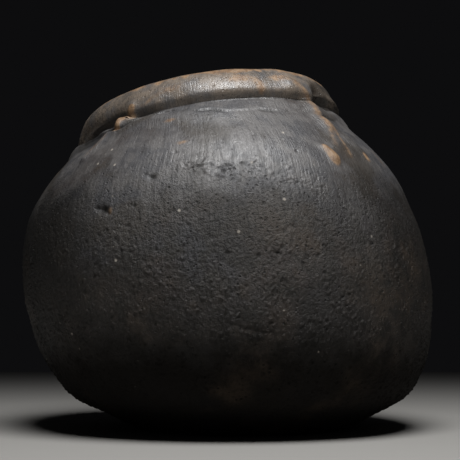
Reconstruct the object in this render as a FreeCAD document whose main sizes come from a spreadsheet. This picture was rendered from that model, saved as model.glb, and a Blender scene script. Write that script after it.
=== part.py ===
import FreeCAD, Part

import math
import os

import Sketcher
from FreeCAD import Vector

# A coil-built clay pot: a floor slab, nine coils that raise the wall, a neck coil with the thin strip of
# clay smeared over its seam, and a rolled rim. All lengths are millimetres and all angles are degrees.
# Origin: on the ground, in the middle of the pot's footprint. +Z is up, and the mouth leans towards -X.

# Each ring is a circle of the outer skin. Each one named a seam is also where two pieces meet.
#   height, radius   of the circle
#   shift            of its centre along X
#   tilt             of its plane, the +X side raised
#   lean             of the wall there: how far its outward normal points below the horizontal
RING_FIELDS = ("height", "radius", "shift", "tilt", "lean")
RINGS = {
    "base": (0, 44, 7.5, 0, 62),
    "slab_seam": (6, 56, 7.5, 0, 62),
    "heel_seam": (16, 74, 6, 0, 46),
    "low_seam": (31, 83.5, 4, 0, 24),
    "rising_seam": (47, 88, 2, 0, 10),
    "belly_seam": (63, 90, 0.5, 0, 1),
    "girth_seam": (79, 89, -1, 0.5, -10),
    "haunch_seam": (94, 85, -2, 1, -21),
    "shoulder_seam": (107, 78.5, -2, 2, -32),
    "collar_seam": (118, 70, -3.5, 3.3, -38),
    "neck_seam": (125, 64.3, -5.3, 4.4, -38),
    "strip_crest": (128, 61.8, -6, 5, -34),
}

# Slope of each lap joint: the height that its face gains going outward, as an angle. The coil above laps
# over the inside of the coil below, except low on the pot, where the wall lies almost flat.
LAP_SLOPES = {
    "slab_seam": -25,
    "heel_seam": -20,
    "low_seam": 8,
    "rising_seam": 20,
    "belly_seam": 28,
    "girth_seam": 38,
    "haunch_seam": 48,
    "shoulder_seam": 58,
    "collar_seam": 62,
    "neck_seam": 25,
}

# The pieces of the wall from the ground up, each with the seam that closes its top.
WALL_PIECES = {
    "floor_slab": "slab_seam",
    "heel_coil": "heel_seam",
    "lower_wall_coil_1": "low_seam",
    "lower_wall_coil_2": "rising_seam",
    "belly_coil_1": "belly_seam",
    "belly_coil_2": "girth_seam",
    "upper_wall_coil": "haunch_seam",
    "shoulder_coil_1": "shoulder_seam",
    "shoulder_coil_2": "collar_seam",
    "shoulder_coil_3": "neck_seam",
}

OTHER_SIZES = {
    "wall_thickness": 7,
    "floor_thickness": 9,
    "floor_radius": 43,
    # Mouth frame: the plane that the rim touches from above, its centre and its lean.
    "mouth_height": 145,
    "mouth_shift": -7.2,
    "mouth_tilt": 7.6,
    # Neck, measured square to the mouth plane. Drops are distances below it.
    "neck_radius": 56.2,
    "neck_inner_radius": 48.5,
    "groove_drop": 14.5,
    "neck_end_drop": 9,
    "strip_radius": 57.6,
    # Rolled rim: a round bead, with a lap face that goes down the inside of the neck coil.
    "bead_radius": 7.2,
    "bead_axis_radius": 52.5,
    "rim_lap_drop": 17,
    # Every joint cutter reaches this far from the axis, so that even the flattest one is taller than
    # the pot.
    "cutter_reach": 1500,
}

doc = FreeCAD.newDocument("coiled_pot")


def fill_sheet():
    """One row for each driving size: its name, and its value under an alias of the same name."""
    sizes = dict(OTHER_SIZES)
    for ring, values in RINGS.items():
        for field, value in zip(RING_FIELDS, values):
            sizes[f"{ring}_{field}"] = value
    for seam, slope in LAP_SLOPES.items():
        sizes[f"{seam}_slope"] = slope
    table = doc.addObject("Spreadsheet::Sheet", "sizes")
    for row, (name, value) in enumerate(sizes.items(), start=1):
        table.set(f"A{row}", name)
        table.set(f"B{row}", str(value))
        table.setAlias(f"B{row}", name)
    doc.recompute()
    return table


sheet = fill_sheet()


def bind(thing, **expressions):
    """Ties the named properties of an object to the sheet. $ stands for the sheet's name."""
    for path, expression in expressions.items():
        thing.setExpression(path.replace("__", "."), expression.replace("$", "sizes."))


def place(thing, centre_x, centre_z, tilt, rise="0"):
    """Centres an object's own Z axis on a point of the XZ plane, tilts it with +X up, and slides it
    along its own axis by rise."""
    thing.Placement = FreeCAD.Placement(Vector(0, 0, 0), FreeCAD.Rotation(Vector(0, -1, 0), 1))
    bind(
        thing,
        Placement__Rotation__Angle=f"{tilt} * 1 deg",
        Placement__Base__x=f"{centre_x} - ({rise}) * sin({tilt} * 1 deg)",
        Placement__Base__z=f"{centre_z} + ({rise}) * cos({tilt} * 1 deg)",
    )


def circle(name, radius, centre_x, centre_z, tilt, rise="0"):
    ring = doc.addObject("Part::Circle", name)
    bind(ring, Radius=radius)
    place(ring, centre_x, centre_z, tilt, rise)
    return ring


def loft(name, sections):
    body = doc.addObject("Part::Loft", name)
    body.Sections = sections
    body.Solid = True
    body.Ruled = False
    body.MaxDegree = 3
    return body


def boolean(kind, name, base, tool):
    result = doc.addObject(kind, name)
    result.Base = base
    result.Tool = tool
    return result


def mouth_circle(name, radius, drop):
    return circle(name, radius, "$mouth_shift", "$mouth_height", "$mouth_tilt", f"-({drop})")


# Above the shoulder the neck is straight, outside and in, so it takes a circle at each of these drops.
NECK_CIRCLES = {
    "groove": "$groove_drop",
    "neck": "($groove_drop + $neck_end_drop) / 2",
    "end": "$neck_end_drop",
}
NECK_HOLLOW_CIRCLES = {
    "lap": "$rim_lap_drop",
    "neck": "$rim_lap_drop / 2",
    "end": "0",
}


def outer_skin():
    """The whole outside from the ground to inside the rim coil, as one smooth skin."""
    rings = [
        circle(f"skin_{ring}", f"${ring}_radius", f"${ring}_shift", f"${ring}_height", f"${ring}_tilt")
        for ring in RINGS
    ]
    for place_name, drop in NECK_CIRCLES.items():
        rings.append(mouth_circle(f"skin_{place_name}", "$neck_radius", drop))
    return loft("skin", rings)


def inner_hollow():
    """The space inside: each ring of the skin moved in along the wall's normal by its thickness."""
    rings = [circle("hollow_floor", "$floor_radius", "$base_shift", "$floor_thickness", "0")]
    for ring in list(RINGS)[2:-1]:
        rings.append(
            circle(
                f"hollow_{ring}",
                f"${ring}_radius - $wall_thickness * cos(${ring}_lean * 1 deg)",
                f"${ring}_shift",
                f"${ring}_height",
                f"${ring}_tilt",
                f"$wall_thickness * sin(${ring}_lean * 1 deg)",
            )
        )
    for place_name, drop in NECK_HOLLOW_CIRCLES.items():
        rings.append(mouth_circle(f"hollow_{place_name}", "$neck_inner_radius", drop))
    return loft("hollow", rings)


def lap_cutter(seam):
    """A cone whose side is the lap face of a seam. It stands on its point where the face rises
    outward, and then holds what is above the seam. Where the face falls outward it stands on its base,
    and holds what is below."""
    slope = LAP_SLOPES[seam]
    rises = slope > 0
    gain = f"abs(tan(${seam}_slope * 1 deg))"
    cone = doc.addObject("Part::Cone", f"cutter_{seam}")
    cone.Radius1 = 0
    cone.Radius2 = 0
    bind(cone, **{"Radius2" if rises else "Radius1": "$cutter_reach"})
    bind(cone, Height=f"$cutter_reach * {gain}")
    start = f"-${seam}_radius * {gain}" if rises else f"-($cutter_reach - ${seam}_radius) * {gain}"
    place(cone, f"${seam}_shift", f"${seam}_height", f"${seam}_tilt", start)
    return cone, rises


def split(stock, cutter, holds_above, lower_name, upper_name):
    """Parts a stock along a cutter's side into the piece below and the piece above."""
    inside = "Part::Common"
    outside = "Part::Cut"
    lower = boolean(outside if holds_above else inside, lower_name, stock, cutter)
    upper = boolean(inside if holds_above else outside, upper_name, stock, cutter)
    return lower, upper


def wall_coils():
    """Cuts the wall at each seam, from the ground up. Returns its pieces and what is left on top."""
    left = boolean("Part::Cut", "clay", outer_skin(), inner_hollow())
    pieces = []
    for name, seam in WALL_PIECES.items():
        cutter, holds_above = lap_cutter(seam)
        piece, left = split(left, cutter, holds_above, name, f"above_{seam}")
        pieces.append(piece)
    return pieces, left


# How far below the mouth plane the bead leaves the neck, and how steeply the lap face falls from there.
BEAD_FOOT = "($bead_radius + sqrt($bead_radius ^ 2 - ($neck_radius - $bead_axis_radius) ^ 2))"
RIM_LAP_GAIN = f"(($rim_lap_drop - {BEAD_FOOT}) / ($neck_radius - $neck_inner_radius))"


def neck_pieces(stock):
    """The neck coil up to the rim's lap face, and the strip smeared over its seam, which is all that
    stands outside a cylinder about the mouth's axis."""
    lap = doc.addObject("Part::Cone", "cutter_rim")
    lap.Radius1 = 0
    bind(lap, Radius2="$cutter_reach", Height=f"$cutter_reach * {RIM_LAP_GAIN}")
    point = f"-{BEAD_FOOT} - $neck_radius * {RIM_LAP_GAIN}"
    place(lap, "$mouth_shift", "$mouth_height", "$mouth_tilt", point)
    ring = boolean("Part::Cut", "neck_ring", stock, lap)

    core = doc.addObject("Part::Cylinder", "neck_core")
    bind(core, Radius="$strip_radius", Height="$cutter_reach")
    place(core, "$mouth_shift", "$mouth_height", "$mouth_tilt", "-$cutter_reach")
    return [
        boolean("Part::Common", "neck_coil", ring, core),
        boolean("Part::Cut", "neck_seam_strip", ring, core),
    ]


def rim_coil():
    """The rolled rim, turned about the mouth's axis: an arc for the bead, a line down the inside, and
    the lap face that meets the neck coil."""
    body = doc.addObject("PartDesign::Body", "rim_coil")
    sketch = body.newObject("Sketcher::SketchObject", "rim_profile")
    upright = next(plane for plane in body.Origin.OriginFeatures if plane.Role == "XZ_Plane")
    sketch.AttachmentSupport = [(upright, "")]
    sketch.MapMode = "FlatFace"

    bead = sheet.bead_radius
    axis = Vector(sheet.bead_axis_radius, -bead, 0)
    foot_angle = -math.acos((sheet.neck_radius - axis.x) / bead)
    foot = Vector(sheet.neck_radius, axis.y + bead * math.sin(foot_angle), 0)
    inner_side = Vector(axis.x - bead, axis.y, 0)
    lap_end = Vector(sheet.neck_inner_radius, -sheet.rim_lap_drop, 0)
    bead_circle = Part.Circle(axis, Vector(0, 0, 1), bead)
    roll = sketch.addGeometry(Part.ArcOfCircle(bead_circle, foot_angle, math.pi), False)
    inside = sketch.addGeometry(Part.LineSegment(inner_side, lap_end), False)
    lap = sketch.addGeometry(Part.LineSegment(lap_end, foot), False)

    start, end, centre = 1, 2, 3
    origin = (-1, 1)

    def tie(*items):
        return sketch.addConstraint(Sketcher.Constraint(*items))

    def measure(alias, *items):
        number = tie(*items, sheet.getPropertyByName(alias))
        sketch.setExpression(f"Constraints[{number}]", f"sizes.{alias}")

    tie("Coincident", roll, end, inside, start)
    tie("Coincident", inside, end, lap, start)
    tie("Coincident", lap, end, roll, start)
    tie("Horizontal", roll, centre, roll, end)
    measure("bead_radius", "Radius", roll)
    measure("bead_axis_radius", "DistanceX", *origin, roll, centre)
    measure("bead_radius", "DistanceY", roll, centre, *origin)
    measure("neck_radius", "DistanceX", *origin, roll, start)
    measure("neck_inner_radius", "DistanceX", *origin, lap, start)
    measure("rim_lap_drop", "DistanceY", lap, start, *origin)

    doc.recompute()
    turned = body.newObject("PartDesign::Revolution", "rim_turned")
    turned.Profile = sketch
    turned.ReferenceAxis = (sketch, ["V_Axis"])
    turned.Angle = 360
    body.Tip = turned
    place(body, "$mouth_shift", "$mouth_height", "$mouth_tilt")
    return body


def check(pieces):
    """Stops the build if anything failed to compute, or if a piece isn't one closed solid."""
    failed = [thing.Name for thing in doc.Objects if {"Invalid", "Error"} & set(thing.State)]
    for piece in pieces:
        shape = piece.Shape
        if shape.isNull() or not shape.isValid() or len(shape.Solids) != 1:
            failed.append(piece.Label)
    if failed:
        raise RuntimeError("not built: " + ", ".join(failed))


def build():
    coils, top = wall_coils()
    pieces = coils + neck_pieces(top) + [rim_coil()]
    doc.recompute()
    check(pieces)
    os.makedirs("parts", exist_ok=True)
    for piece in pieces:
        piece.Shape.exportStep(f"parts/{piece.Label}.step")
        box = piece.Shape.BoundBox
        print(
            f"{piece.Label:18s} {piece.Shape.Volume / 1000:7.2f} cm3"
            f"  x {box.XMin:7.2f} {box.XMax:7.2f}  y {box.YMin:7.2f} {box.YMax:7.2f}"
            f"  z {box.ZMin:7.2f} {box.ZMax:7.2f}"
        )


build()
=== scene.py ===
import itertools
import math

import bpy
import numpy as np
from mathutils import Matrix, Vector


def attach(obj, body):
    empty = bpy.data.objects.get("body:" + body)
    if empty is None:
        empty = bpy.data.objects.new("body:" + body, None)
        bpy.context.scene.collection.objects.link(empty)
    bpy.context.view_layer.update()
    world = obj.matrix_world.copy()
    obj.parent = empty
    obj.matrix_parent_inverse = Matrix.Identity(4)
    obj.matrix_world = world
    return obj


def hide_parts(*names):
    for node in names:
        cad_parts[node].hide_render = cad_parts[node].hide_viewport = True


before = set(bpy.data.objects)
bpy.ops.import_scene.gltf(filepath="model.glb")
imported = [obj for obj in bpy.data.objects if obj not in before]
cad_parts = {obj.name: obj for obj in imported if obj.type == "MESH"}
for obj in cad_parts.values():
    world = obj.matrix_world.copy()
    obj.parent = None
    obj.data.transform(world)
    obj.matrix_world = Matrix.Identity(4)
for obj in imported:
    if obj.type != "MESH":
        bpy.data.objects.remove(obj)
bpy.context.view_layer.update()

print("frame loaded,", len(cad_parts), "clay pieces")

mm = 0.001  # the clay is shaped in millimetres and written in metres

# The pot before any hand marks. A ring is its height, radius, centre along X, and tilt with the +X side up.
pot = {
    "rings": {
        "slabSeam": (6, 56, 7.5, 0),
        "heelSeam": (16, 74, 6, 0),
        "lowSeam": (31, 83.5, 4, 0),
        "risingSeam": (47, 88, 2, 0),
        "bellySeam": (63, 90, 0.5, 0),
        "girthSeam": (79, 89, -1, 0.5),
        "haunchSeam": (94, 85, -2, 1),
        "shoulderSeam": (107, 78.5, -2, 2),
        "collarSeam": (118, 70, -3.5, 3.3),
        "neckSeam": (125, 64.3, -5.3, 4.4),
    },
    "baseShift": 7.5,
    "baseRadius": 43,
    "wall": 7,  # thickness
    "lap": 4,  # how far each joint runs down the wall on its way in
    "floor": 9,
    "floorRadius": 43,
    "mouthHeight": 145,
    "mouthShift": -7.2,
    "mouthTilt": 7.6,
    "neckInside": 48.5,
    "rimLapDrop": 17,
    "stripRadius": 57.6,
}

mesh = {
    "columns": 1152,
    "outsideStep": 0.5,
    "insideStep": 1.8,
    "poleRadius": 0.8,
    "coarsestStride": 64,  # near the middle of the base only every 64th column is kept
    "widestGap": 1.2,  # between kept columns
}

# The stretch of wall that each coil takes up: its lower seam and its upper seam.
stretches = {
    "heel_coil": ("slabSeam", "heelSeam"),
    "lower_wall_coil_1": ("heelSeam", "lowSeam"),
    "lower_wall_coil_2": ("lowSeam", "risingSeam"),
    "belly_coil_1": ("risingSeam", "bellySeam"),
    "belly_coil_2": ("bellySeam", "girthSeam"),
    "upper_wall_coil": ("girthSeam", "haunchSeam"),
    "shoulder_coil_1": ("haunchSeam", "shoulderSeam"),
    "shoulder_coil_2": ("shoulderSeam", "collarSeam"),
    "shoulder_coil_3": ("collarSeam", "neckSeam"),
}


# The rolled lip, from the neck's groove over the top to its inner side: drops below the mouth and radii.
lip = {
    "stripTop": (17.9, 60.6),
    "groove": (16.3, 58.4),
    "rimLap": (14.9, 57.9),
    "lipFoot": (13.7, 58.7),
    "lipSwell": (12.1, 59.9),
    "lipFace": (9.2, 59.6),
    "lipShoulder": (6.2, 58.4),
    "lipBrow": (3.3, 56.4),
    "lipCrown": (1.1, 54.0),
    "lipTop": (0.0, 51.2),
    "lipInnerCrown": (0.8, 48.9),
    "lipInnerFace": (3.4, 46.6),
    "lipInside": (7.2, 45.5),
}


# The meridian runs from under the base up the outside, over the rim and down the inside to the floor.

def mouthRing(drop, radius):
    lean = math.radians(pot["mouthTilt"])
    height = pot["mouthHeight"] - drop * math.cos(lean)
    return height, radius, pot["mouthShift"] + drop * math.sin(lean), pot["mouthTilt"]


def wallLeans():
    # how far the wall leans outward at each seam, in degrees
    rings = [(0, pot["baseRadius"])] + [ring[:2] for ring in pot["rings"].values()] + [(130, 58)]
    leans = {}
    for name, below, above in zip(pot["rings"], rings[:-2], rings[2:]):
        leans[name] = math.degrees(math.atan2(above[1] - below[1], above[0] - below[0]))
    return leans


def insideRing(ring, lean):
    # the inner end of a joint: through the wall, and down it by the lap
    height, radius, shift, tilt = ring
    slant = math.radians(lean)
    wall, lap = pot["wall"], pot["lap"]
    return (
        height + wall * math.sin(slant) - lap * math.cos(slant),
        radius - wall * math.cos(slant) - lap * math.sin(slant),
        shift,
        tilt,
    )


def drawMeridian():
    base, foot = pot["baseShift"], pot["baseRadius"]
    leans = wallLeans()
    outside, inside = mesh["outsideStep"], mesh["insideStep"]
    controls = [
        ("underPole", (0, mesh["poleRadius"], base, 0), inside),
        ("", (0, 20, base, 0), inside),
        ("", (0, foot - 3, base, 0), outside),
        ("", (0.1, foot, base, 0), outside),
        ("", (1.5, foot + 4.6, base, 0), outside),
    ]
    controls += [(name, ring, outside) for name, ring in pot["rings"].items()]
    controls += [(name, mouthRing(*ring), outside) for name, ring in lip.items()]
    controls += [
        ("", mouthRing(12.5, pot["neckInside"] - 1.5), inside),
        ("rimLapInside", mouthRing(pot["rimLapDrop"], pot["neckInside"]), inside),
    ]
    for name in reversed(pot["rings"]):
        controls.append((name + "Inside", insideRing(pot["rings"][name], leans[name]), inside))
    controls += [
        ("", (pot["floor"], pot["floorRadius"] - 6, base, 0), inside),
        ("", (pot["floor"], 15, base, 0), inside),
        ("floorPole", (pot["floor"], mesh["poleRadius"], base, 0), inside),
    ]
    return controls


def sweepMeridian(controls):
    # a smooth curve through the rings, cut into rows about a step apart
    points = np.array([ring for name, ring, step in controls], float)
    gaps = np.hypot(*np.diff(points[:, :2], axis=0).T)
    slopes = np.diff(points, axis=0) / gaps[:, None]
    before, after = gaps[:-1, None], gaps[1:, None]
    middle = (after * slopes[:-1] + before * slopes[1:]) / (before + after)
    bends = np.concatenate([slopes[:1], middle, slopes[-1:]])
    rows, named = [], {}
    for k, (name, ring, step) in enumerate(controls):
        if name:
            named[name] = len(rows)
        if k == len(gaps):
            rows.append(points[k])
            break
        count = max(1, round(gaps[k] / step))
        for t in np.arange(count) / count:
            near, far = 2 * t**3 - 3 * t**2 + 1, 3 * t**2 - 2 * t**3
            leave, arrive = t**3 - 2 * t**2 + t, t**3 - t**2
            bent = gaps[k] * (leave * bends[k] + arrive * bends[k + 1])
            rows.append(near * points[k] + far * points[k + 1] + bent)
    return np.array(rows), named


def addStripBack(rows, named):
    # one more ring, set apart as the last row: where the back of the neck's smear meets the joint below it
    seam, inner = rows[named["neckSeam"]], rows[named["neckSeamInside"]]
    share = (seam[1] - pot["stripRadius"]) / (seam[1] - inner[1])
    named["stripBack"] = len(rows)
    return np.vstack([rows, seam + share * (inner - seam)]), named


rows, rowOf = addStripBack(*sweepMeridian(drawMeridian()))
# 0 is the front, and +X is a quarter turn on
azimuth = np.linspace(0, 2 * math.pi, mesh["columns"], endpoint=False)
height, radius, shift, tilt = (column[:, None] for column in rows.T)
tilt = np.radians(tilt)
clay = np.stack(
    [
        shift + radius * np.sin(azimuth) * np.cos(tilt),
        -radius * np.cos(azimuth) + 0 * tilt,
        height + radius * np.sin(azimuth) * np.sin(tilt),
    ],
    axis=-1,
)
# the distance along the meridian
up = np.concatenate([[0], np.cumsum(np.hypot(*np.diff(rows[:, :2], axis=0).T))])
degrees = (np.degrees(azimuth) + 180) % 360 - 180
print("meridian swept,", clay.shape[0], "rows of", clay.shape[1])


# Tools that mark the clay

def grain(points, size, seed):
    # smooth noise of about -1 to 1, its lumps as big as size, which is one number or three
    random = np.random.default_rng(seed)
    order = random.permutation(256)
    slopes = random.normal(size=(256, 3))
    slopes /= np.linalg.norm(slopes, axis=1)[:, None]
    places = points / np.array(size, float) + 37.5
    cell = np.floor(places).astype(int)
    inside = places - cell
    ease = inside**3 * (inside * (inside * 6 - 15) + 10)
    total = 0
    for corner in itertools.product((0, 1), repeat=3):
        x, y, z = np.moveaxis(cell + corner, -1, 0)
        pick = order[(order[(order[x & 255] + y) & 255] + z) & 255]
        push = (slopes[pick] * (inside - corner)).sum(-1)
        total = total + push * np.prod(np.where(corner, ease, 1 - ease), axis=-1)
    return 1.7 * total


def fade(value, start, end):
    t = np.clip((value - start) / (end - start), 0, 1)
    return t * t * (3 - 2 * t)


def normalsOf(points):
    around = np.roll(points, -1, axis=1) - np.roll(points, 1, axis=1)
    along = np.gradient(points[:-1], axis=0)  # without the last row, which stands apart
    normals = np.cross(around, np.concatenate([along, along[-1:]]))
    return normals / np.maximum(np.linalg.norm(normals, axis=-1, keepdims=True), 1e-9)


faceRows = slice(rowOf["slabSeam"], rowOf["lipTop"])  # heights only grow along these


def upAt(level):
    return np.interp(level, height[faceRows, 0], up[faceRows])


def radiusAt(level):
    return np.interp(level, height[faceRows, 0], radius[faceRows, 0])


def stamp(target, amount, route, width, tall=None, lean=0):
    # adds amount along a route of (turn, level) stops, or on one stop as an oval, fading to its sides
    tall = tall or width
    reach = 3 * max(width, tall)
    turns, levels = zip(*route)
    ends = upAt(np.array(levels))
    first, last = np.searchsorted(up, (ends.min() - reach, ends.max() + reach))
    middle = 0.5 * (min(turns) + max(turns))
    size = radiusAt(0.5 * (min(levels) + max(levels)))
    sideways = (degrees - middle + 180) % 360 - 180
    near = np.flatnonzero(np.abs(sideways) < 0.5 * (max(turns) - min(turns)) + math.degrees(reach / size))
    window = np.ix_(np.arange(first, last), near)
    x = np.radians(sideways[near])[None, :] * radius[first:last]
    y = up[first:last, None] + 0 * x
    stops = [(math.radians(turn - middle) * size, end) for turn, end in zip(turns, ends)]
    if len(stops) == 1:
        swing = math.radians(lean)
        x, y = x - stops[0][0], y - stops[0][1]
        x, y = x * math.cos(swing) + y * math.sin(swing), y * math.cos(swing) - x * math.sin(swing)
        target[window] += amount * np.exp(-((x / width) ** 2 + (y / tall) ** 2))
        return
    nearest = np.full(x.shape, 1e9)
    for (startX, startY), (endX, endY) in zip(stops[:-1], stops[1:]):
        runX, runY = endX - startX, endY - startY
        t = np.clip(((x - startX) * runX + (y - startY) * runY) / (runX**2 + runY**2), 0, 1)
        nearest = np.minimum(nearest, (x - startX - t * runX) ** 2 + (y - startY - t * runY) ** 2)
    target[window] += amount * np.exp(-nearest / width**2)


# Where the surface is coarse, and the coordinates that the polishing strokes follow

everywhere = np.ones(clay.shape[:2])
isOutside = (np.arange(len(rows)) < rowOf["rimLapInside"])[:, None] & (everywhere > 0)
upWall = up[:, None] * everywhere
onLip = fade(upWall, up[rowOf["rimLap"]] - 1, up[rowOf["rimLap"]] + 2)
onLip *= 1 - fade(upWall, up[rowOf["rimLap"]] + 30, up[rowOf["rimLap"]] + 42)
coarse = 1 - fade(height + 10 * grain(clay, 26, 3) + 5 * grain(clay, 9, 4), 76, 104)
coarse = np.where(isOutside, coarse, 0.55)
strokes = np.stack([60 * np.sin(azimuth) * everywhere, -60 * np.cos(azimuth) * everywhere, upWall], axis=-1)
facing = normalsOf(clay)

lift = np.zeros(clay.shape[:2])  # outward, in mm
worn = np.zeros(clay.shape[:2])  # down to the tan clay
rust = np.zeros(clay.shape[:2])
pale = np.zeros(clay.shape[:2])  # specks of mineral

handMarks = {
    "outOfRound": 0.7,
    "waves": 0.30,
    "strokes": 0.05,
    "lumps": 0.08,
    "grit": 0.16,
    "pebbles": 0.50,
    "raggedCrumbs": 0.5,
    "lipWaves": 0.45,
    "insideWaves": 0.5,
}
outOfRound = handMarks["outOfRound"] * grain(clay, 75, 11)
lift += outOfRound
lift += handMarks["waves"] * grain(clay, (34, 34, 11), 12) * (0.5 + 0.5 * coarse)
lift += handMarks["strokes"] * grain(strokes, (1.5, 1.5, 13), 13) * isOutside * (1 - onLip)
# pebbled skin, strongest low on the pot and in patches
pebbled = coarse * (0.45 + 0.55 * (1 - fade(height + 8 * grain(clay, 12, 5), 50, 82)))
pebbled *= 0.5 + 0.5 * fade(grain(clay, (10, 10, 14), 6), -0.3, 0.35)
lift += handMarks["lumps"] * (2 * np.abs(grain(clay, (2.9, 2.9, 2.1), 14)) - 0.4) * pebbled
lift += handMarks["grit"] * grain(clay, (1.9, 1.9, 1.5), 15) * pebbled
crumbs = grain(clay, (1.2, 1.2, 1.0), 18)
lift += handMarks["pebbles"] * fade(crumbs, 0.26, 0.7) * pebbled
lift += handMarks["lipWaves"] * grain(clay, (16, 16, 9), 16) * onLip
lift += handMarks["insideWaves"] * grain(clay, (30, 30, 8), 17) * ~isOutside

# The neck's seam: a thin smear of clay ends in a ragged lower edge, open as a crack in places.
neckSmear = {
    # the lower edge: its stops of (turn, level) at the front, and its level at the back
    "front": [(-30, 126), (-15, 127.5), (-4, 124.5), (6, 123.5), (30, 125)],
    "back": 125,
    "edge": 0.3,
    "crack": 0.9,
}


def smearTheNeck():
    ring = np.stack([20 * np.sin(azimuth), 20 * np.cos(azimuth), 0 * azimuth], axis=-1)
    ragged = neckSmear["back"] + 2.2 * grain(ring, 6, 21) + 0.8 * grain(ring, 2, 22)
    turns, levels = zip(*neckSmear["front"])
    atFront = 1 - fade(np.abs(degrees), 22, 32)
    edge = ragged + atFront * (np.interp(degrees, turns, levels) + 0.7 * grain(ring, 1.5, 23) - ragged)
    above = upWall - upAt(edge)[None, :]
    smear = fade(above, -0.5, 0.7) * (1 - fade(above, 3, 8)) * isOutside
    openHere = fade(grain(ring, 5, 24) + 0.9 * np.exp(-(((degrees + 4) / 9) ** 2)), 0.15, 0.7)
    crack = np.exp(-(((above + 0.5) / 0.85) ** 2)) * openHere[None, :] * isOutside
    return neckSmear["edge"] * smear - neckSmear["crack"] * crack, crack


smear, crack = smearTheNeck()
lift += smear

# The lip swells on the left, where it runs down into the shoulder, and is pinched in on the right.
lipEnds = {
    "leftFoot": {"stop": (-88, 131.5), "lift": 2.4, "wide": 20, "tall": 6.0},
    "leftBrow": {"stop": (-80, 141.0), "lift": 2.4, "wide": 32, "tall": 7.5},
    "rightPinch": {"stop": (84, 138), "lift": -2.3, "wide": 26, "tall": 6.0},
    "rightNeck": {"stop": (86, 126.5), "lift": -1.4, "wide": 22, "tall": 4.0},
}
for end in lipEnds.values():
    stamp(lift, end["lift"], [end["stop"]], end["wide"], end["tall"])

# Marks left by fingers and knocks: the stops of (turn, level) that each runs through, its width and its lift
knocks = {
    "rightSmear": {"route": [(34, 136), (39.5, 132), (42, 127), (41, 120)], "width": 4.2, "lift": 1.3},
    "rightFork": {"route": [(41, 120), (37.5, 112), (33.5, 105)], "width": 3.0, "lift": 0.5},
    "rightPocket": {"route": [(49.5, 134.5), (52, 130)], "width": 3.6, "lift": -2.6},
    "rightOuterFork": {"route": [(45, 121), (47, 112), (49, 106)], "width": 3.6, "lift": 0.5},
    "leftHollow": {"route": [(-37, 124.5), (-46, 123), (-56, 122.5)], "width": 4.4, "lift": -1.8},
    "leftLens": {"route": [(-32.4, 135), (-34.2, 129), (-36.2, 122.8)], "width": 2.2, "lift": 0.8},
    "filledGroove": {"route": [(-46, 126), (-20, 128), (0, 129), (32, 130.5)], "width": 4.6, "lift": 1.4},
    "leftGroove": {"route": [(-10, 129), (-22, 129), (-33, 129.5)], "width": 3.0, "lift": -0.5},
    "leftPocket": {"route": [(-39, 131), (-48, 130.5), (-57, 130), (-66, 129)], "width": 4.6, "lift": -1.5},
    "leftRidge": {"route": [(-40, 122), (-44.5, 110)], "width": 2.2, "lift": 1.1},
    "crease": {"route": [(-1, 41.5), (4, 39.5), (9, 38.5)], "width": 0.6, "lift": -0.35},
    "rightBlob": {"route": [(31, 107.5), (32.8, 103)], "width": 2.0, "lift": 1.0},
    "blobFoot": {"route": [(34.5, 101)], "width": 1.3, "lift": -0.3},
    "leftBridge": {"route": [(-34.2, 129.8), (-35.8, 125.6)], "width": 2.2, "lift": 2.7},
}
for knock in knocks.values():
    stamp(lift, knock["lift"], knock["route"], knock["width"])
stamp(lift, 1.8, [(41, 129.8)], 4.4, 2.6)  # carries the right smear over the groove

# pits knocked into the belly
for turn, level, size, depth in (
    (-16.5, 94.7, 1.3, 0.9),
    (-18.5, 96, 0.8, 0.5),
    (-29, 83.5, 1.9, 1.3),
    (-31, 84.5, 1.1, 0.7),
    (-27.5, 82, 1.0, 0.8),
    (0.5, 65.4, 1.1, 0.6),
    (24, 88, 1.0, 0.6),
):
    stamp(lift, -depth, [(turn, level)], size, 0.75 * size)


scattered = {
    "seed": 31,
    "pits": 1500,
    "polishedFrom": 84,  # above this level few pits are kept
    "keptOnPolish": 0.14,
    "scratches": 60,
    "raggedTurns": (-8, 26),
    "raggedLevel": 96,
}


def scatterPits():
    # small pits where grit fell out: few on the polished clay, many on the coarse
    random = np.random.default_rng(scattered["seed"])
    for _ in range(scattered["pits"]):
        turn, level = random.uniform(-180, 180), random.uniform(14, 122)
        size, depth = random.uniform(0.45, 0.9), random.uniform(0.15, 0.5)
        if random.random() < (1.0 if level < scattered["polishedFrom"] else scattered["keptOnPolish"]):
            tall, lean = size * random.uniform(0.6, 1.0), random.uniform(-40, 40)
            stamp(lift, -depth, [(turn, level)], size, tall, lean)
    ragged = np.zeros(clay.shape[:2])
    for _ in range(scattered["scratches"]):  # the ragged line along the haunch's joint
        turn = random.uniform(*scattered["raggedTurns"])
        level = scattered["raggedLevel"] - 0.2 * turn + random.normal(0, 2.2)
        size, turnEnd = random.uniform(0.45, 0.7), turn + random.uniform(-1.5, 1.5)
        depth, levelEnd = random.uniform(-0.28, 0.12), level + random.normal(0, 0.6)
        stamp(lift, depth, [(turn, level), (turnEnd, levelEnd)], size)
        stamp(ragged, random.uniform(0.2, 0.7), [(turn, level)], 2.2, 1.4)
    return np.clip(ragged, 0, 1)


lift += handMarks["raggedCrumbs"] * crumbs * scatterPits()
print("hand marks and pits pressed in")

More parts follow.
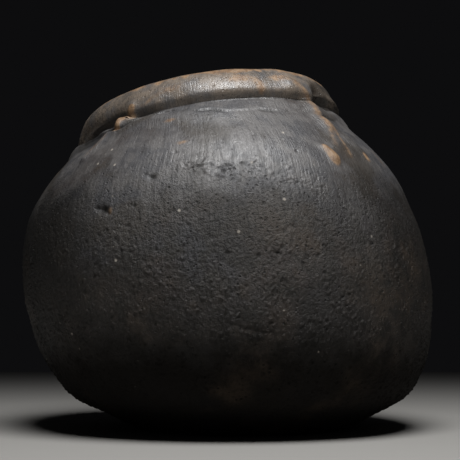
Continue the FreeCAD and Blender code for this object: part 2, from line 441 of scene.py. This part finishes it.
# Worn places: the tan clay shows on the lip, on the ridges and on a few knocks
lipPlace = (upWall - up[rowOf["lipTop"]]) / 7  # 0 on the top line of the lip
wornNoise = grain(clay, 7.5, 41) + 0.5 * grain(clay, 2.6, 42)
lipTopBand = np.exp(-(((lipPlace + 0.5) / 0.6) ** 2))
worn += 0.85 * fade(wornNoise + 1.3 * lipTopBand, 0.75, 1.7) * lipTopBand
for turn, level, width, tall, lean, strength in (
    (12, 138.5, 6, 2.6, 0, 0.9),
    (29, 139, 5, 2.4, 0, 0.8),
    (19.5, 134.5, 2.2, 3.6, 0, 0.8),
    (-15, 138, 6, 2.0, 0, 0.55),
    (-25, 135, 5, 1.6, 20, 0.45),
    (32.5, 103.6, 2.0, 3.2, 20, 1.25),
    (48, 107, 1.6, 2.6, 0, 0.9),
    (-14.5, 121, 2.6, 1.2, 10, 0.75),
    (-10, 109, 2.6, 1.3, 10, 0.7),
    (-27, 83, 1.3, 2.0, 0, 0.6),
    (-78, 103, 5, 7, 20, 0.5),
    (-66, 112, 3, 7, 25, 0.45),
    (60, 110, 4, 8, -20, 0.35),
    (76, 96, 6, 9, -20, 0.3),
):
    stamp(worn, strength, [(turn, level)], width, tall, lean)
wornRidges = {
    "leftLens": {"route": [(-32.6, 134), (-34.3, 129), (-36.2, 123.5)], "width": 1.7, "strength": 1.5},
    "rightSmear": {"route": [(36, 136), (40.5, 132), (42, 127), (41, 120)], "width": 2.8, "strength": 0.6},
    "rightFork": {"route": [(40, 118), (36, 110)], "width": 2.0, "strength": 0.4},
    "rightStreak": {"route": [(42, 117), (40.5, 106)], "width": 1.5, "strength": 0.45},
    "rightBlob": {"route": [(31, 107.5), (32.8, 103)], "width": 1.7, "strength": 1.2},
    "leftRidge": {"route": [(-40, 121), (-44, 111)], "width": 1.7, "strength": 0.35},
}
for ridge in wornRidges.values():
    stamp(worn, ridge["strength"], ridge["route"], ridge["width"])
stamp(rust, 0.9, [(41.5, 117), (39.5, 106)], 1.9)
worn = np.clip(worn * (0.85 + 0.35 * grain(clay, 1.6, 43)), 0, 1)

rust += 0.55 * fade(grain(clay, 30, 44) + 0.3 * grain(clay, 9, 45), 0.0, 0.8)
rust += 0.5 * np.exp(-(((degrees - 45) / 28) ** 2)) * np.exp(-(((height - 60) / 24) ** 2))
rust += 0.4 * np.exp(-(((degrees + 42) / 18) ** 2)) * np.exp(-(((height - 48) / 13) ** 2))
rust = np.clip(rust, 0, 1)

specks = [(3.5, 73), (-9.5, 81), (-25.5, 64), (19.5, 113), (15, 85), (-33, 111), (-36, 105), (-29, 102.5)]
for speck in specks:
    stamp(pale, 1.0, [speck], 0.75)
random, speckCount = np.random.default_rng(51), 150
for turn, level in zip(random.uniform(-180, 180, speckCount), random.uniform(20, 122, speckCount)):
    stamp(pale, random.uniform(0.2, 0.8), [(turn, level)], random.uniform(0.5, 0.8))
pale = np.clip(pale, 0, 1)

# painted shade: darker in the neck's crack and wherever the surface is pressed in
hollow = np.clip(crack - (lift - outOfRound) / 0.6, 0, 1)

# Painted shade: the sides and the back of the belly are darkened, where the lamp's light falls off
sideShade = fade(np.abs(degrees) + 22 * grain(clay, 30, 61), 22, 58)
sideShade *= 1 - fade(height + 9 * grain(clay, 14, 62), 90, 108)

# The base was set down wet, so it has no marks and stays flat.
lift *= np.where(np.arange(len(rows))[:, None] < rowOf["slabSeam"], fade(height, 0, 5), 1)
clay = clay + facing * lift[..., None]
facing = normalsOf(clay)
paint = {
    "worn": worn,
    "rust": rust,
    "pale": pale,
    "coarse": coarse,
    # painted shade in the crack and the pressed-in hollows
    "hollow": hollow,
    "lip": onLip,
    # painted shade on the sides and the back of the belly
    "sideShade": sideShade,
}
print("wear and specks placed")


# The finish

class Shade:
    # a socket of the clay's node tree, with the sums that shader maths needs
    tree = None

    def __init__(self, socket):
        self.socket = socket

    @classmethod
    def node(cls, kind, settings, inputs, output=0):
        made = cls.tree.nodes.new(kind)
        for name, value in settings.items():
            setattr(made, name, value)
        for name, value in inputs.items():
            if isinstance(value, Shade):
                cls.tree.links.new(value.socket, made.inputs[name])
            else:
                made.inputs[name].default_value = value
        return None if output is None else cls(made.outputs[output])

    def maths(self, operation, *values):
        return self.node("ShaderNodeMath", {"operation": operation}, dict(enumerate(values)))

    def __add__(self, other):
        return self.maths("ADD", self, other)

    __radd__ = __add__

    def __sub__(self, other):
        return self.maths("SUBTRACT", self, other)

    def __rsub__(self, other):
        return self.maths("SUBTRACT", other, self)

    def __mul__(self, other):
        return self.maths("MULTIPLY", self, other)

    __rmul__ = __mul__


def painted(name):
    return Shade.node("ShaderNodeAttribute", {"attribute_name": name}, {}, "Fac")


def ramped(value, start, end, low=0.0, high=1.0):
    sockets = {"Value": value, "From Min": start, "From Max": end, "To Min": low, "To Max": high}
    return Shade.node("ShaderNodeMapRange", {"interpolation_type": "SMOOTHSTEP"}, sockets)


def mixed(factor, first, second):
    return Shade.node("ShaderNodeMix", {"data_type": "RGBA"}, {0: factor, 6: first, 7: second}, 2)


def noise(place, size, detail=2.0, rough=0.5):
    # size in mm
    sockets = {"Vector": place, "Scale": 1 / size, "Detail": detail, "Roughness": rough}
    return Shade.node("ShaderNodeTexNoise", {}, sockets, "Fac")


def stretched(place, scale):
    return Shade.node("ShaderNodeVectorMath", {"operation": "MULTIPLY"}, {0: place, 1: scale})


finish = {
    "litUpperGrey": (0.142, 0.135, 0.133, 1),  # painted light: the polished upper wall, lightened where the lamp falls on it
    "graphite": (0.043, 0.040, 0.037, 1),
    # near-black: the clay's own dark tone in the polishing streaks, and painted shade low down, on the
    # sides, in the hollows, the pits and the grit's dips
    "blackAndShade": (0.009, 0.008, 0.007, 1),
    "slate": (0.064, 0.065, 0.073, 1),
    "umber": (0.064, 0.055, 0.045, 1),
    "brown": (0.078, 0.056, 0.039, 1),
    # lighter warm lip tone: partly the lip's own worn clay, partly painted light where the lip faces the
    # lamp
    "lip": (0.24, 0.195, 0.155, 1),
    "tan": (0.34, 0.225, 0.135, 1),
    "tanDeep": (0.22, 0.135, 0.08, 1),
    "speck": (0.42, 0.38, 0.33, 1),
    "polish": 0.44,  # roughness of the polished clay, the coarse clay and the duller shaded copy low down
    "matt": 0.50,
    "shadedRough": 0.85,
    "polishedIor": 1.6,
    "mattSheen": 0.42,  # specular level of the coarse clay and the duller shaded copy low down
    "shadedSheen": 0.04,
    "bumpDepth": 0.00040,  # metres
}


def blackClay():
    material = bpy.data.materials.new("blackClay")
    material.use_nodes = True
    Shade.tree = material.node_tree
    Shade.tree.nodes.clear()
    place = Shade.node("ShaderNodeTexCoord", {}, {}, "Object")
    level = Shade.node("ShaderNodeSeparateXYZ", {}, {"Vector": place}, "Z") * 1000
    place = stretched(place, (1000, 1000, 1000))  # back to mm
    brush = Shade.node("ShaderNodeAttribute", {"attribute_name": "brush"}, {}, "Vector")
    worn, rust, pale, coarse, hollow, lipSkin, sideShade = (painted(name) for name in paint)

    cloudy = noise(place, 24, 3)
    patchy = noise(place, 8, 3, 0.6)
    mottle = noise(place, 2.6, 3, 0.6)
    grit = noise(place, 1.1, 4, 0.7)
    fine = noise(place, 0.45, 1)
    streaks = noise(stretched(brush, (1, 1, 0.09)), 0.65, 3, 0.65)
    wideStreaks = noise(stretched(brush, (1, 1, 0.10)), 3.2, 2)
    cells = Shade.node("ShaderNodeTexVoronoi", {}, {"Vector": place, "Scale": 1 / 2.1}, "Distance")
    pinholes = ramped(cells, 0.25, 0.12) * ramped(patchy + 0.6 * mottle, 0.72, 0.9)
    pinholes = pinholes * (0.25 + 0.75 * coarse)

    # body colour: lightened as painted light on the polished upper wall, darkened as painted shade low down,
    # with slate and umber clouds
    colour = mixed(ramped(level + 26 * (cloudy - 0.5), 62, 104), finish["graphite"], finish["litUpperGrey"])
    colour = mixed(ramped(patchy + 0.25 * streaks, 0.52, 0.72) * 0.7, colour, finish["slate"])
    colour = mixed(ramped(cloudy + 0.5 * patchy, 0.72, 0.90) * 0.7, colour, finish["umber"])
    # painted shade: the clay darkens towards the bottom of the pot, where the lamp's light gives out
    colour = mixed(ramped(level + 30 * (cloudy - 0.5), 60, 28) * 0.93, colour, finish["blackAndShade"])
    # painted shade on the sides and the back of the belly, where the lamp's light falls off
    colour = mixed(sideShade * 0.78, colour, finish["blackAndShade"])
    colour = mixed(ramped(streaks, 0.48, 0.68) * (0.3 + 0.25 * coarse), colour, finish["blackAndShade"])
    colour = mixed(ramped(wideStreaks, 0.5, 0.75) * 0.25, colour, finish["blackAndShade"])
    # painted shade in the low dips of the grit, which the bump also presses in
    colour = mixed(ramped(grit, 0.52, 0.36) * (0.15 + 0.6 * coarse), colour, finish["blackAndShade"])
    colour = mixed(rust * ramped(patchy + 0.5 * grit, 0.5, 1.0) * 0.8, colour, finish["brown"])
    # the lip's lighter warm tone: partly its own worn clay, partly painted light where it faces the lamp
    colour = mixed(lipSkin * ramped(patchy + 0.5 * mottle, 0.5, 0.95) * 0.9, colour, finish["lip"])
    # painted shade in the crack and the pressed-in hollows
    colour = mixed(hollow * 0.7, colour, finish["blackAndShade"])
    # painted shade in the pinholes, which the bump also presses in
    colour = mixed(pinholes, colour, finish["blackAndShade"])
    tan = mixed(ramped(mottle, 0.35, 0.65), finish["tanDeep"], finish["tan"])
    colour = mixed(ramped(worn * (0.5 + 0.5 * grit + 0.5 * mottle), 0.12, 0.75), colour, tan)
    colour = mixed(ramped(pale, 0.35, 0.8), colour, finish["speck"])

    polish = finish["polish"] - 0.12 * lipSkin + 0.16 * (wideStreaks - 0.5) + 0.6 * (streaks - 0.5)
    polish = polish + 0.5 * (mottle - 0.5)
    relief = 0.55 * streaks + 0.45 * grit + 0.15 * fine
    relief = relief + coarse * (1.3 * grit + 0.4 * fine) - 1.2 * pinholes
    bump = Shade.node("ShaderNodeBump", {}, {"Distance": finish["bumpDepth"], "Height": relief})
    polished = Shade.node(
        "ShaderNodeBsdfPrincipled",
        {},
        {"Base Color": colour, "Roughness": polish, "IOR": finish["polishedIor"], "Normal": bump},
    )
    matt = Shade.node(
        "ShaderNodeBsdfPrincipled",
        {},
        {
            "Base Color": colour,
            "Roughness": finish["matt"] + 0.4 * (mottle - 0.5),
            "Specular IOR Level": finish["mattSheen"],
            "Normal": bump,
        },
    )
    shadedClay = Shade.node(
        "ShaderNodeBsdfPrincipled",
        {},
        {
            "Base Color": colour,
            "Roughness": finish["shadedRough"],
            "Specular IOR Level": finish["shadedSheen"],
            "Normal": bump,
        },
    )
    dull = Shade.node("ShaderNodeClamp", {}, {0: 0.9 * coarse + 0.7 * worn + 0.5 * hollow})
    skin = Shade.node("ShaderNodeMixShader", {}, {0: dull, 1: polished, 2: matt})
    # a shaded copy of the clay, duller and with almost no sheen, mixed in towards the bottom where it stands
    # in for shade
    low = ramped(level + 12 * (patchy - 0.5), 48, 24) * 0.95
    skin = Shade.node("ShaderNodeMixShader", {}, {0: low, 1: skin, 2: shadedClay})
    Shade.node("ShaderNodeOutputMaterial", {}, {"Surface": skin}, None)
    return material


clayFinish = blackClay()
print("finish mixed")


# One closed body of clay for each node

def stitch(low, high):
    # faces between two rings of vertex numbers, one of which may have twice as many as the other
    if len(low) == len(high):
        return np.stack([low, np.roll(low, -1), np.roll(high, -1), high], axis=-1).tolist()
    if len(low) < len(high):
        return [face[::-1] for face in stitch(high, low)]
    low, middle, last = low[::2], low[1::2], np.roll(low[::2], -1)
    nextHigh = np.roll(high, -1)
    faces = np.concatenate([
        np.stack([low, middle, high], axis=-1),
        np.stack([middle, nextHigh, high], axis=-1),
        np.stack([middle, last, nextHigh], axis=-1),
    ])
    return faces.tolist()


def strideOf(row):
    # how many columns to skip at this row, doubling towards the middle of the base
    stride = 1
    gap = 2 * math.pi * radius[row, 0] / mesh["columns"]
    coarsest = mesh["coarsestStride"] if radius[row, 0] < pot["baseRadius"] - 4 else 2
    widest = mesh["widestGap"] if row < rowOf["slabSeam"] or row > rowOf["rimLapInside"] else 0
    while stride < coarsest and stride * gap < 0.6 * widest:
        stride *= 2
    return stride


def shapePiece(node, pieceRows, closed=True):
    rings, columnsOf, start = [], [], 0
    for row in pieceRows:
        columns = np.arange(0, mesh["columns"], strideOf(row))
        rings.append(start + np.arange(len(columns)))
        columnsOf.append((row, columns))
        start += len(columns)
    faces = []
    for low, high in zip(rings[:-1], rings[1:]):
        faces += stitch(low, high)
    if closed:
        faces += stitch(rings[-1], rings[0])
    else:
        faces += [rings[0][::-1].tolist(), rings[-1].tolist()]  # the small discs in the middle of the slab

    def gather(values):
        return np.concatenate([values[row, columns] for row, columns in columnsOf])

    shape = bpy.data.meshes.new(node)
    shape.from_pydata((gather(clay) * mm).tolist(), [], faces)
    shape.update()
    for name, values in paint.items():
        made = shape.attributes.new(name, "FLOAT", "POINT")
        made.data.foreach_set("value", gather(values).astype(np.float32))
    made = shape.attributes.new("brush", "FLOAT_VECTOR", "POINT")
    made.data.foreach_set("vector", gather(strokes).astype(np.float32).ravel())
    shape.polygons.foreach_set("use_smooth", np.ones(len(faces), bool))
    shape.normals_split_custom_set_from_vertices(gather(facing).tolist())
    shape.materials.append(clayFinish)
    piece = bpy.data.objects.new("clay_" + node, shape)
    bpy.context.scene.collection.objects.link(piece)
    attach(piece, "root")
    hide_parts(node)
    return piece


def run(first, last):
    return list(range(rowOf[first], rowOf[last] + 1))


shapePiece("floor_slab", run("underPole", "slabSeam") + run("slabSeamInside", "floorPole"), closed=False)
for node, (lower, upper) in stretches.items():
    shapePiece(node, run(lower, upper) + run(upper + "Inside", lower + "Inside"))
neckWall = run("rimLapInside", "neckSeamInside")
shapePiece("neck_coil", [rowOf["stripBack"]] + run("stripTop", "rimLap") + neckWall)
shapePiece("neck_seam_strip", run("neckSeam", "stripTop") + [rowOf["stripBack"]])
shapePiece("rim_coil", run("rimLap", "rimLapInside"))
print("pieces shaped")


# Floor, light and camera

studio = {
    "floorSize": 4.0,
    "floor": (0.42, 0.41, 0.39, 1),
    "key": {"towards": (0.10, -0.54, 0.83), "away": 0.50, "size": 0.28, "watts": 2.7},
    "fill": {"towards": (0.3, -0.9, 0.3), "away": 1.6, "size": 0.9, "watts": 0.04},
    "world": (0.004, 0.004, 0.0044, 1),
    "aim": (0, 0, 0.08),
}
view = {"place": (2, -360, 28.5), "up": 9.44, "lens": 62.14, "sensor": 36}


def layFloor():
    half = studio["floorSize"] / 2
    shape = bpy.data.meshes.new("floor")
    corners = [(-half, -half, 0), (half, -half, 0), (half, half, 0), (-half, half, 0)]
    shape.from_pydata(corners, [], [(0, 1, 2, 3)])
    material = bpy.data.materials.new("paleFloor")
    material.use_nodes = True
    skin = material.node_tree.nodes["Principled BSDF"]
    skin.inputs["Base Color"].default_value = studio["floor"]
    skin.inputs["Roughness"].default_value = 0.9
    shape.materials.append(material)
    floor = bpy.data.objects.new("floor", shape)
    bpy.context.scene.collection.objects.link(floor)


def hangLamp(name):
    values = studio[name]
    data = bpy.data.lights.new(name, "AREA")
    data.shape, data.size, data.energy = "DISK", values["size"], values["watts"]
    lamp = bpy.data.objects.new(name, data)
    towards = Vector(values["towards"]).normalized()
    lamp.location = Vector(studio["aim"]) + towards * values["away"]
    lamp.rotation_euler = towards.to_track_quat("Z", "Y").to_euler()
    bpy.context.scene.collection.objects.link(lamp)


def setCamera():
    data = bpy.data.cameras.new("view")
    data.lens, data.sensor_width = view["lens"], view["sensor"]
    data.clip_start = 0.01
    camera = bpy.data.objects.new("view", data)
    camera.location = [value * mm for value in view["place"]]
    camera.rotation_euler = (math.radians(90 + view["up"]), 0, 0)
    bpy.context.scene.collection.objects.link(camera)
    bpy.context.scene.camera = camera


layFloor()
hangLamp("key")
hangLamp("fill")
world = bpy.data.worlds.new("studio")
world.use_nodes = True
world.node_tree.nodes["Background"].inputs["Color"].default_value = studio["world"]
bpy.context.scene.world = world
bpy.context.scene.view_settings.view_transform = "Standard"
setCamera()
print("studio set")
